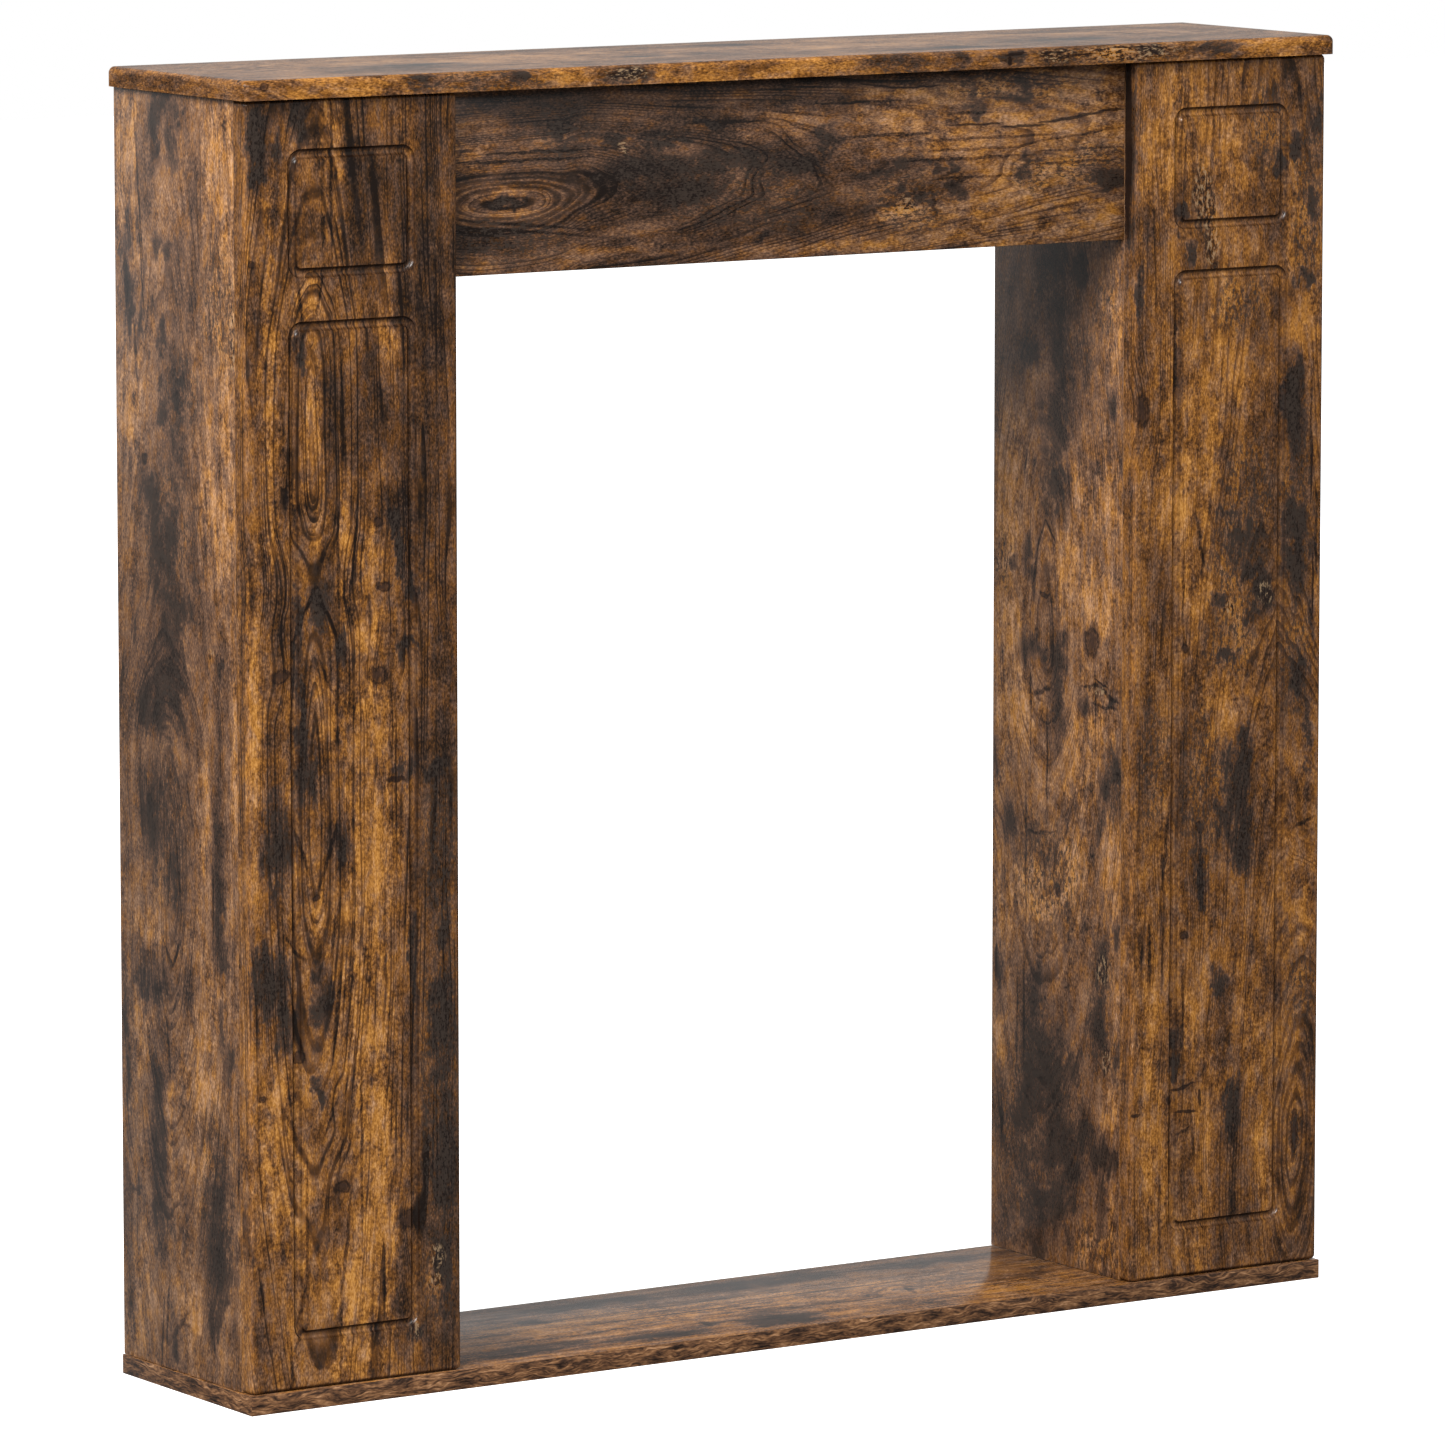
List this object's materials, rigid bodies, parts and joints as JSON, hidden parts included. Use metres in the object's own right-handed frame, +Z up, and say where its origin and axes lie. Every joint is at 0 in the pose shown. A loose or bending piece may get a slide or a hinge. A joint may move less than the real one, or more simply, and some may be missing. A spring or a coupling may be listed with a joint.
{
  "type": "fireplace surround",
  "caption": "Free-standing fireplace surround of flat boards: a base, hollow panelled legs, a lintel and a mantel shelf around an opening.",
  "frame": {"origin": "on the floor under the middle of the whole surround's width and depth, which are the mantel's", "axes": "+X to the right as one faces the surround, +Y back towards the wall, +Z up"},
  "size_m": [1, 0.2, 1],
  "materials": {
    "base_decor": "smooth semi-gloss printed rustic wood decor, with a darker edge band",
    "mantel_decor": "smooth semi-gloss printed rustic wood decor, grain along the board",
    "lintel_decor": "smooth semi-gloss printed rustic wood decor, grain along the board",
    "leg_side_decor": "smooth semi-gloss printed rustic wood decor, grain upright, with dark stains",
    "leg_panel_decor": "smooth semi-gloss printed rustic wood decor over routed frames, grain upright"
  },
  "bodies": {
    "root": {"base_board": "base_decor", "mantel_board": "mantel_decor", "lintel_board": "lintel_decor", "left_outer_side": "leg_side_decor", "left_inner_side": "leg_side_decor", "right_outer_side": "leg_side_decor", "right_inner_side": "leg_side_decor", "left_front_panel": "leg_panel_decor", "right_front_panel": "leg_panel_decor"}
  },
  "joints": []
}
